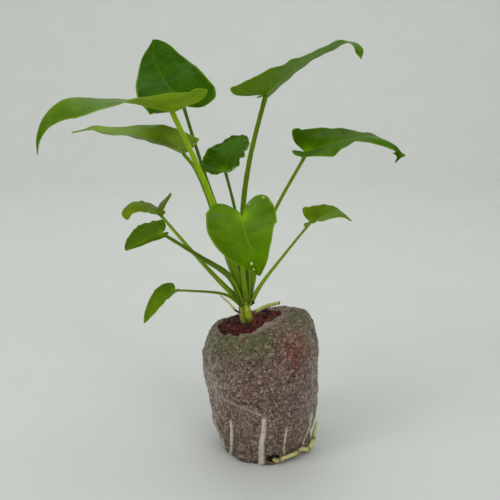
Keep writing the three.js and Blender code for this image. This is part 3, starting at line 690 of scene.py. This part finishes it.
def wall(t, bearing, inset=0.0):
    """A point on the plug's uneven wall at share t of its profile, inset from the outside."""
    radius, height, cx, cy = np.moveaxis(spline(PLUG_STATIONS, t), -1, 0)
    ripple = 0.5 * (1 - smooth(0, 30, height)) * np.cos(9 * bearing + 0.9)
    slump = 0.35 * np.sin(3 * bearing + height * 0.12) + 0.25 * np.sin(5 * bearing - height * 0.2)
    tuck = FOOT_TUCK[2] * near(bearing, *FOOT_TUCK[:2]) * (1 - smooth(0, 16, height))
    dip = LIP_DIP[2] * near(bearing, *LIP_DIP[:2]) * smooth(0.86, 1, t)
    reach = radius - inset + ripple + slump * smooth(2, 12, height) - tuck - dip
    x, y = cx + reach * np.cos(bearing), cy + reach * np.sin(bearing)
    behind = np.maximum(0, y - 6)
    lean = 0.225 * (x - cx) + 0.001 * (x - cx) ** 2 - 0.012 * behind ** 2
    return np.stack([x, y, height + smooth(47, 62, height) * lean], axis=-1)


def lining(t, bearing, depth):
    """The wall moved in by a depth: sideways up to the shoulder, and down past it."""
    shoulder = smooth(0.72, 0.95, t)
    spot = wall(t, bearing, depth * (1 - shoulder))
    spot[..., 2] -= depth * shoulder
    return spot


def wall_normal(t, bearing):
    step = 0.004
    up = wall(np.minimum(t + step, 1), bearing) - wall(np.maximum(t - step, 0), bearing)
    along = wall(t, bearing + step) - wall(t, bearing - step)
    return unit(np.cross(along, up))


def pleats(t, bearing):
    """How much of a pleat stands at a place on the wall, 0 to 1."""
    radius, height = np.moveaxis(spline(PLUG_STATIONS, t)[..., :2], -1, 0)
    total = np.zeros(np.shape(t))
    for degrees, swing, foot, top, width in PLEATS:
        rise = (height - foot) / (top - foot)
        centre = np.radians(degrees + swing * (1 - np.clip(rise, 0, 1)) ** 3)
        apart = turn_from(centre, bearing) * radius + 0.1 * width * np.sin(height * 0.3 + degrees)
        half = 0.5 * width * (1.08 - 0.4 * np.clip(rise, 0, 1))
        ends = smooth(-0.08, 0, rise) * (1 - smooth(0.94, 1.04, rise))
        total = np.maximum(total, np.exp(-(apart / half) ** 6) * ends)
    return total


def skin(t, bearing):
    """The sleeve's outside with the lumps of the coir behind it and its pleats, and how much is pleat."""
    spot = wall(t, bearing)
    x, y, z = np.moveaxis(spot, -1, 0)
    lumps = 0.3 * waves(spot, 7, 11) + 0.16 * waves(spot, 3, 12) + 0.07 * waves(spot, 1.3, 13)
    crease = bell(z - 31 + 0.3 * (x + 14), 0.55) * smooth(-26, -20, x) * (1 - smooth(-5, -2, x)) * (y < 0)
    fold = pleats(t, bearing)
    lift = (lumps + 0.3 * crease) * smooth(0, 0.06, t) * (1 - 0.6 * fold) + 0.8 * fold
    spot = spot + wall_normal(t, bearing) * lift[..., None]
    spot[..., 2] = np.maximum(spot[..., 2], 0)
    return spot, np.maximum(fold, 0.45 * crease)


def ragged(bearing):
    """How far the fleece stands up round the opening."""
    return (np.abs(np.sin(7 * bearing + 1) * np.cos(3 * bearing)) * 0.8
            + 0.25 * np.sin(23 * bearing + 2) * np.sin(11 * bearing) + 0.16 * np.sin(47 * bearing))


def sleeve_tints(points, names):
    """How much of each tint shows through the fleece at points, and how much painted sheen lies on it."""
    wander = 1 + 0.45 * waves(points, 5, 31)
    tints = {}
    for name in names:
        spots = sum(share * np.exp(-(((points - np.array(at)) / size) ** 2).sum(axis=-1))
                    for at, size, share in TINTS[name])
        tints[name] = np.clip(spots * wander, 0, 1)
    return tints


def fleece_material():
    s = Shade("fleece_sleeve_skin")
    red, painted_sheen = s.read("red"), s.read("painted_sheen")
    broad, mottle = s.noise(8, 4, 0.6), s.noise(2.6, 5, 0.7, 0.5)
    grain, dots = s.noise(1.7, 3, 0.6, 1.0), s.noise(1.6, 3, 0.6, 0.6, place=s.stretched(1.15, 0.9, 0.8))
    base = s.mix(s.spread(mottle, 0.36, 0.62), (48, 24, 17), (78, 48, 38))
    base = s.over(base, s.spread(broad, 0.4, 0.66), 0.5, (74, 46, 36))
    base = s.over(base, red, s.spread(s.noise(2.1, 3, 0.6), 0.42, 0.56, 0.15, 0.95), (124, 30, 18))
    base = s.over(base, s.read("lilac"), 0.7, (134, 126, 138))
    # Painted sheen: paler fleece on the plug's sides and in a few patches.
    base = s.over(base, painted_sheen, 0.7, (186, 174, 164))
    base = s.over(base, s.read("dark"), 0.8, (56, 52, 66))
    green = s.times(s.read("algae"), s.spread(s.noise(3.4, 4, 0.6), 0.26, 0.56, 0.3, 1))
    base = s.over(base, green, 0.88, (78, 88, 10))
    dark = s.mix(green, s.mix(red, (30, 14, 10), (66, 12, 10)), (46, 52, 12))
    base = s.over(base, s.spread(dots, 0.55, 0.485), 0.95, dark)

    # The net of fibres over the coir
    across = s.noise(2.2, 3, 0.5, 3.0, place=s.stretched(1.2, 0.8, 1.3))
    net = s.calc("MAXIMUM", s.thread(s.noise(2.5, 3, 0.5, 2.4), 0.05, 0.022), s.thread(across, 0.045, 0.02))
    pale = s.mix(red, (208, 174, 154), (188, 122, 98))
    pale = s.mix(green, pale, (142, 146, 92))
    base = s.over(base, s.times(net, s.spread(s.noise(4, 3, 0.6), 0.34, 0.6, 0.5, 1.0)), 0.52, pale)
    base = s.over(base, s.spread(grain, 0.565, 0.62), 0.88, pale)
    # More pale grain in the same patches of painted sheen.
    base = s.over(base, painted_sheen, s.spread(grain, 0.46, 0.55, 0.05, 0.65), (214, 206, 200))
    base = s.over(base, s.read("pleat"), 0.92, (250, 236, 220))
    base = s.over(base, s.read("hem"), 0.42, (216, 196, 178))
    relief = s.plus(s.times(net, 0.8), dots, 1.2)
    return s.done(base, s.spread(mottle, 0.3, 0.7, 0.72, 0.95), s.bump(relief, 0.34, 1.0),
                  (0.05, (1, 0.7, 0.5), 0.0004), Sheen_Weight=0.08, Sheen_Roughness=0.5)


def build_sleeve():
    rows, columns, inner = 176, 400, 14
    bearing = turns(columns)
    t, around = grid(np.linspace(0, 1, rows), bearing)
    outside, fold = skin(t, around)
    outside[..., 2] += smooth(0.94, 1, t) * ragged(around)
    outside[0, :, 2] = 0
    inside = lining(*grid(np.linspace(1, 0, inner), bearing), FLEECE)
    inside[0, :, 2] = np.minimum(inside[0, :, 2] + ragged(bearing), outside[-1, :, 2] - 0.25)
    inside[-1, :, 2] = FLEECE
    points, faces = closed([*outside, *inside], [(0, 0, 0), (0, 0, FLEECE)])
    hem = smooth(0.9, 0.975, t) * (0.25 + 0.75 * near(around, -58, 34))
    values = sleeve_tints(points, TINTS)
    for key, value in (("pleat", fold), ("hem", hem)):
        values[key] = np.append(value, np.zeros(inner * columns + 2))
    sleeve = make("sleeve_cloth", points, faces, fleece_material(), ["fleece_sleeve"], values)

    notch, notch_faces = ball(4)
    jagged = 1 + 0.1 * waves(notch, 0.5, 21) + 0.06 * waves(notch, 0.2, 22)
    cut_out(sleeve, notch * jagged[:, None] * NOTCH_SIZE + NOTCH_AT, notch_faces)
    radii = [radius + ROOT_ROOM for radius in ROOT["radii"]]
    groove, groove_faces, _, _ = tube(Path(ROOT["points"]), lambda t, _: even(radii, t), 60, 16)
    cut_out(sleeve, groove, groove_faces)


def fibres(place, count, length, radius, seed, curl, stand):
    """Thin curled fibres. place takes each fibre's offsets and returns points and the way out there."""
    draw = np.random.default_rng(seed)
    steps = 7
    size = draw.uniform(*length, count)[:, None] / steps
    heading = draw.uniform(0, TAU, count)[:, None]
    bend = draw.normal(0, curl, count)[:, None]
    s = np.linspace(-0.5, 0.5, steps + 1)[None]
    angle = heading + bend * s * 2 + 0.5 * np.sin(s * 9 + heading * 3)
    points, out = place(np.cumsum(np.cos(angle) * size, axis=1), np.cumsum(np.sin(angle) * size, axis=1))
    ends = np.sin(math.pi * (s + 0.5))
    high = draw.uniform(0, 1, (count, 1)) ** 2 * stand
    points = points + out * (high * ends + 0.03)[..., None]
    ways = unit(np.gradient(points, axis=1))
    side = unit(np.cross(ways, out))
    up = np.cross(side, ways)
    thick = draw.uniform(*radius, count)[:, None] * (0.35 + 0.65 * ends)
    corners = [points + (side * math.cos(a) + up * math.sin(a)) * thick[..., None] for a in turns(3) + 0.5]
    block = (steps + 1) * 3
    one = ring_faces(steps + 1, 3) + [(2, 1, 0), (block - 3, block - 2, block - 1)]
    return (np.stack(corners, axis=2).reshape(-1, 3), copies(one, count, block),
            np.repeat(draw.uniform(0, 1, count), block))


def fibre_material(name, dull, pale, rough=0.7, tinted=False):
    s = Shade(name)
    shade = s.plus(s.read("own"), s.calc("SUBTRACT", s.noise(1.2, 2), 0.5))
    colour = s.mix(s.spread(shade, 0.1, 0.9), dull, pale)
    if tinted:
        colour = s.over(colour, s.read("algae"), 0.8, (118, 122, 50))
        colour = s.over(colour, s.read("red"), 0.7, (150, 84, 66))
    return s.done(colour, rough, s.bump(s.noise(0.12, 2), 0.03, 0.5), (0.15, (1, 0.8, 0.6), 0.0003))


def build_sleeve_fibres():
    count, steps = SLEEVE_FIBRES, 400
    draw = np.random.default_rng(5)
    t_line = np.linspace(0, 1, steps)
    lengths = lengths_along(wall(t_line, np.full(steps, -math.pi / 2)))
    start_v = draw.uniform(1.2, lengths[-1] - 1.5, count)[:, None]
    start_b = draw.uniform(0, TAU, count)[:, None]
    plug_radius = 24

    def place(u, v):
        t = np.interp(np.clip(start_v + v, 0.6, lengths[-1] - 0.2), lengths, t_line)
        bearing = start_b + u / plug_radius
        return skin(t, bearing)[0], wall_normal(t, bearing)

    points, faces, own = fibres(place, count, (1.2, 3.4), (0.06, 0.12), 6, curl=2.4, stand=0.2)

    # Fibres over the notch, at the root or under the foot are left out
    in_notch = (((points - NOTCH_AT) / (NOTCH_SIZE + 0.4)) ** 2).sum(axis=1) < 1
    root_line = Path(ROOT["points"]).at(np.linspace(0, 1, 60))
    near_root = np.min(np.linalg.norm(points[:, None] - root_line[None], axis=2), axis=1) < 1.5
    kept = ~(in_notch | near_root | (points[:, 2] < 0.15)).reshape(count, -1).any(axis=1)
    faces = faces[:len(faces) // count * kept.sum()]
    points = points.reshape(count, -1, 3)[kept].reshape(-1, 3)
    values = {"own": own.reshape(count, -1)[kept].reshape(-1), **sleeve_tints(points, ("algae", "red"))}
    material = fibre_material("sleeve_fibre", (84, 60, 48), (228, 208, 192), tinted=True)
    make("sleeve_fibres", points, faces, material, (), values)


# Coir

def coir_material(name, gain=1.0):
    s = Shade(name)
    broad, fine = s.noise(2.6, 4, 0.65), s.noise(0.45, 4, 0.7, 0.8)
    strands = s.noise(0.7, 3, 0.6, 1.5, place=s.stretched(1, 0.3, 0.5))
    base = s.mix(s.spread(broad, 0.44, 0.58), tone((20, 11, 8), gain), tone((116, 27, 38), gain))
    base = s.over(base, s.spread(fine, 0.5, 0.7), 0.6, tone((156, 78, 56), gain))
    base = s.over(base, s.spread(strands, 0.58, 0.68), 0.4, tone((130, 80, 56), gain))
    # Near-black patches by noise: painted shade of the deep gaps between the coir's lumps.
    base = s.mix(s.spread(s.noise(2.0, 3), 0.5, 0.6), base, (10, 5, 5))
    return s.done(base, s.spread(fine, 0.3, 0.7, 0.5, 0.9), s.bump(s.plus(fine, strands), 0.3, 1.0),
                  Specular_IOR_Level=0.35)


def coir_top(share, bearing):
    """The coir's surface from the lip of the opening at 0 in to its middle at 1."""
    peak = np.array(COIR_PEAK)
    lip = wall(np.ones_like(share), bearing, 0.3)
    lip[..., 2] -= COIR_GAP
    spot = lip + (peak - lip) * share[..., None]
    draw = np.random.default_rng(77)
    around, inward = draw.uniform(0, TAU, COIR_LUMPS), 1 - np.sqrt(draw.uniform(0, 1, COIR_LUMPS))
    middles = wall(np.ones(COIR_LUMPS), around, 0.3)
    middles = middles + (peak - middles) * inward[:, None]
    size = draw.uniform(0.7, 2.2, COIR_LUMPS)
    apart = np.linalg.norm(spot[..., None, :2] - middles[:, :2], axis=-1)
    lumps = (np.sqrt(np.maximum(0, 1 - (apart / size) ** 2)) * size * 0.5).max(axis=-1)
    lift = lumps - 0.4 + 0.22 * waves(spot, 3.5, 78) + 0.12 * waves(spot, 0.9, 79)
    spot[..., 2] += lift * smooth(0, 0.06, share)
    return spot


def build_coir():
    columns, low_rows, top_rows = 260, 60, 68
    bearing = turns(columns)
    t, around = grid(np.linspace(0, 1, low_rows), bearing)
    side = lining(t, around, COIR_GAP)
    push = np.minimum(0.22 * waves(side, 2.4, 41) + 0.1 * waves(side, 0.9, 42) - 0.3, 0.05)
    side += wall_normal(t, around) * (push * (1 - smooth(0.9, 1, t)))[..., None]
    side[0] = wall(t[0], bearing, COIR_GAP + 0.4)
    side[0, :, 2] = COIR_GAP
    top = coir_top(*grid(np.linspace(0, 1, top_rows + 2)[1:-1], bearing))
    points, faces = closed([*side, *top], [(0, 0, COIR_GAP), COIR_PEAK])
    make("coir_body", points, faces, coir_material("coir_damp"), ["coir_substrate"])


def build_crumbs(draw):
    ball_points, ball_faces = ball(2)
    around, inward = draw.uniform(0, TAU, CRUMBS), 1 - np.sqrt(draw.uniform(0.02, 0.96, CRUMBS))
    sizes = np.append(draw.uniform(0.3, 1.3, CRUMBS) ** 1.3, STUCK_CRUMB_SIZE)
    spots = np.vstack([coir_top(inward, around), STUCK_CRUMB])
    crumbs = []
    for k, (spot, size) in enumerate(zip(spots, sizes)):
        rough = 0.22 * waves(ball_points, 1.1, 200 + k, 5) + 0.12 * waves(ball_points, 0.5, 900 + k, 5)
        turn = np.linalg.qr(draw.normal(size=(3, 3)))[0]
        shape = ball_points * (1 + rough)[:, None] * draw.uniform(0.6, 1.25, 3) @ turn * size
        crumbs.append(shape + spot + (0, 0, 0.15 * size))
    faces = copies(ball_faces, len(crumbs), len(ball_points))
    make("coir_crumbs", np.vstack(crumbs), faces, coir_material("coir_crumb", 1.25))


def build_coir_fibres(draw):
    around = draw.uniform(0, TAU, COIR_FIBRES)[:, None]
    inward = 1 - np.sqrt(draw.uniform(0.03, 0.98, COIR_FIBRES))[:, None]
    ring_radius, depth = 9, 15

    def place(u, v):
        spot = coir_top(np.clip(inward + v / depth, 0.02, 0.97), around + u / ring_radius)
        return spot, np.broadcast_to((0.0, 0.0, 1.0), spot.shape)

    points, faces, own = fibres(place, COIR_FIBRES, (2.0, 6.0), (0.07, 0.15), 92, curl=1.1, stand=1.3)
    material = fibre_material("coir_fibre", (60, 24, 18), (158, 104, 66), 0.8)
    make("coir_fibres", points, faces, material, (), {"own": own})


# Crown, old sheaths and root

def bumps_at(t, places, width):
    return sum(bell(t - place, width) for place in places)


def streaked(name, dark, light, size, stretch, detail=3, rough=0.6):
    """A new material, its streaks, and a base colour of them."""
    s = Shade(name)
    streaks = s.noise(size, detail, rough, place=s.stretched(*stretch) if stretch else None)
    return s, streaks, s.mix(s.spread(streaks, 0.35, 0.68), dark, light)


def with_relief(s, base, streaks, rough, relief, glow):
    return s.done(base, s.spread(streaks, 0.3, 0.7, *rough), s.bump(streaks, *relief), glow)


def build_stem(name, data, rings, colour):
    def radius(t, angle):
        uneven = 0.03 * np.sin(5 * angle + 9 * t) + 0.02 * np.sin(11 * angle - 20 * t)
        r = even(data["radii"], t) * (1 + uneven)
        for place in rings:
            r = r * (1 + 0.04 * (bell(t - place, 0.012) - 0.7 * bell(t - place - 0.03, 0.012)))
        return r

    points, faces, share, _ = tube(Path(data["points"]), radius, 90, 40)
    s, streaks, base = streaked(f"{name}_skin", tone(colour, 0.75), tone(colour, 1.1), 0.8, (1, 1, 0.15))
    base = s.over(base, s.read("scar"), 0.6, (132, 122, 52))
    low = s.spread(s.plus(s.read("along"), s.noise(1.2, 3), 0.12), 0.78, 0.6)
    base = s.over(base, low, 0.7, (104, 66, 44))
    base = s.over(base, s.spread(s.noise(1.0, 3), 0.6, 0.72), 0.5, (92, 84, 36))
    material = with_relief(s, base, streaks, (0.35, 0.6), (0.12, 0.6), (0.2, (0.7, 1, 0.3), 0.0008))
    values = {"along": share, "scar": np.clip(bumps_at(share, rings, 0.014), 0, 1)}
    make(f"{name}_flesh", points, faces, material, [name], values)


def build_old_base():
    def radius(t, angle):
        split = bell(turn_from(1.2, angle), 0.5)
        torn_end = 1 - 0.3 * (1 - smooth(0, 0.12, t)) * (0.5 + 0.5 * np.sin(3 * angle))
        uneven = 1 + 0.06 * np.sin(7 * angle + 14 * t)
        return even(OLD_BASE["radii"], t) * (1 - 0.35 * split) * torn_end * uneven

    points, faces, share, _ = tube(Path(OLD_BASE["points"]), radius, 70, 36, 0.6)
    s, streaks, base = streaked("old_sheath_skin", (212, 210, 138), (240, 238, 186), 0.5, (1, 1, 0.4))
    brown = s.spread(s.plus(s.read("along"), s.noise(1.4, 3), 0.24), 0.7, 0.96)
    base = s.mix(brown, base, (96, 56, 34))
    base = s.over(base, s.spread(s.noise(0.9, 3), 0.6, 0.72), 0.5, (140, 104, 62))
    material = with_relief(s, base, streaks, (0.4, 0.7), (0.15, 0.8), (0.4, (1, 0.9, 0.5), 0.0012))
    make("old_base_husk", points, faces, material, ["old_leaf_base"], {"along": share})


def build_pale_strip():
    def radius(t, angle):
        notch = 1 - 0.4 * bell(t - 0.93, 0.03) * (0.5 + 0.5 * np.cos(angle - 1.5))
        return even(PALE_STRIP["radii"], t) * notch * (1 + 0.05 * np.sin(5 * angle) * np.sin(30 * t))

    points, faces, share, _ = tube(Path(PALE_STRIP["points"]), radius, 90, 32, 0.5)
    s, streaks, base = streaked("pale_strip_skin", (188, 190, 104), (222, 222, 150), 0.5, (0.3, 0.5, 1))
    along = s.read("along")
    base = s.over(base, s.spread(along, 0.9, 0.95), 0.6, (120, 106, 66))
    base = s.mix(s.spread(along, 0.12, 0.02), base, (120, 104, 60))
    material = with_relief(s, base, streaks, (0.4, 0.65), (0.12, 0.7), (0.3, (1, 0.9, 0.5), 0.001))
    make("pale_strip_husk", points, faces, material, ["pale_strip"], {"along": share})


def build_root():
    joints = (0.16, 0.42, 0.63, 0.8)

    def radius(t, angle):
        uneven = 1 + 0.05 * np.sin(4 * angle + 30 * t) + 0.05 * np.sin(55 * t) * np.sin(angle * 2)
        r = even(ROOT["radii"], t) * uneven
        for place in joints:
            r = r * (1 + 0.1 * bell(t - place, 0.02))
        return r

    points, faces, share, _ = tube(Path(ROOT["points"]), radius, 220, 28)
    points[:, 2] = np.maximum(points[:, 2], 0.05)
    s, streaks, base = streaked("root_skin", (186, 180, 104), (220, 218, 152), 0.6, None, 4, 0.65)
    base = s.over(base, s.read("joint"), 0.85, (112, 76, 40))
    base = s.over(base, s.spread(s.noise(1.5, 3), 0.58, 0.7), 0.6, (118, 84, 54))
    material = with_relief(s, base, streaks, (0.45, 0.75), (0.14, 0.8), (0.2, (1, 0.9, 0.5), 0.0009))
    values = {"joint": np.clip(bumps_at(share, joints, 0.022), 0, 1)}
    make("root_flesh", points, faces, material, ["escaped_root"], values)


build_sleeve()
build_sleeve_fibres()
build_coir()
coir_draw = np.random.default_rng(91)
build_crumbs(coir_draw)
build_coir_fibres(coir_draw)
build_stem("stem_main", STEM, (0.62, 0.76, 0.9), (188, 204, 40))
build_stem("stem_side", SIDE_STEM, (0.66, 0.84), (152, 154, 54))
build_old_base()
build_pale_strip()
build_root()


# Stage, light and camera

def stage_material():
    s = Shade("stage_pale")
    clouds = s.spread(s.noise(60, 3, 0.6), 0.3, 0.7)
    return s.done(s.mix(clouds, (0.59, 0.61, 0.595, 1), (0.605, 0.625, 0.61, 1)), 0.75)


def cove():
    """A round pale floor whose rim curves up into a wall all the way round."""
    flat, bend, height, sides = 900, 500, 1500, 96
    profile = [(r, 0) for r in (60, 150, 300, 600, flat)]
    profile += [(flat + bend * math.sin(a), bend * (1 - math.cos(a))) for a in np.radians(range(15, 91, 15))]
    profile.append((flat + bend, height))
    points = [(r * math.cos(a), r * math.sin(a), z) for r, z in profile for a in turns(sides)]
    points.append((0, 0, 0))
    faces = ring_faces(len(profile), sides) + [(len(points) - 1, k, j) for j, k in round_pairs(sides)]
    floor = add_mesh("floor", points, faces)
    floor.data.materials.append(stage_material())


def lamp(name, at, towards, size, power, colour):
    light = bpy.data.lights.new(name, "AREA")
    light.shape = "DISK"
    light.size = size
    light.energy = power
    light.color = colour
    obj = add_object(name, light)
    obj.location = at
    obj.rotation_mode = "QUATERNION"
    obj.rotation_quaternion = (Vector(towards) - Vector(at)).to_track_quat("-Z", "Y")


cove()
lamp("sky", (-0.1, 0.1, 1.25), (0, 0, 0.1), 1.3, 5.8, (1, 1, 0.97))
lamp("key", (-0.75, -0.55, 0.95), (0, 0, 0.1), 0.5, 3.6, (1, 0.99, 0.94))
lamp("fill", (0.5, -0.9, 0.8), (0, -0.22, 0), 0.8, 3.6, (1, 1, 0.98))
lamp("wall", (0, 0.75, 1.1), (0, 1.35, 0.25), 0.9, 3, (1, 1, 0.98))
world = bpy.data.worlds.new("daylight")
world.use_nodes = True
daylight = world.node_tree.nodes["Background"].inputs
daylight["Color"].default_value = (0.97, 1, 0.98, 1)
daylight["Strength"].default_value = 0.4
bpy.context.scene.world = world
bpy.context.scene.view_settings.view_transform = "Standard"

camera = bpy.data.cameras.new("camera")
camera.lens = LENS
camera.sensor_width = SENSOR
camera.clip_start = 0.01
camera.clip_end = 10
eye = add_object("camera", camera)
eye.location = [c * MM for c in CAMERA_AT]
eye.rotation_euler = (math.radians(90 - CAMERA_DOWN), 0, 0)
bpy.context.scene.camera = eye
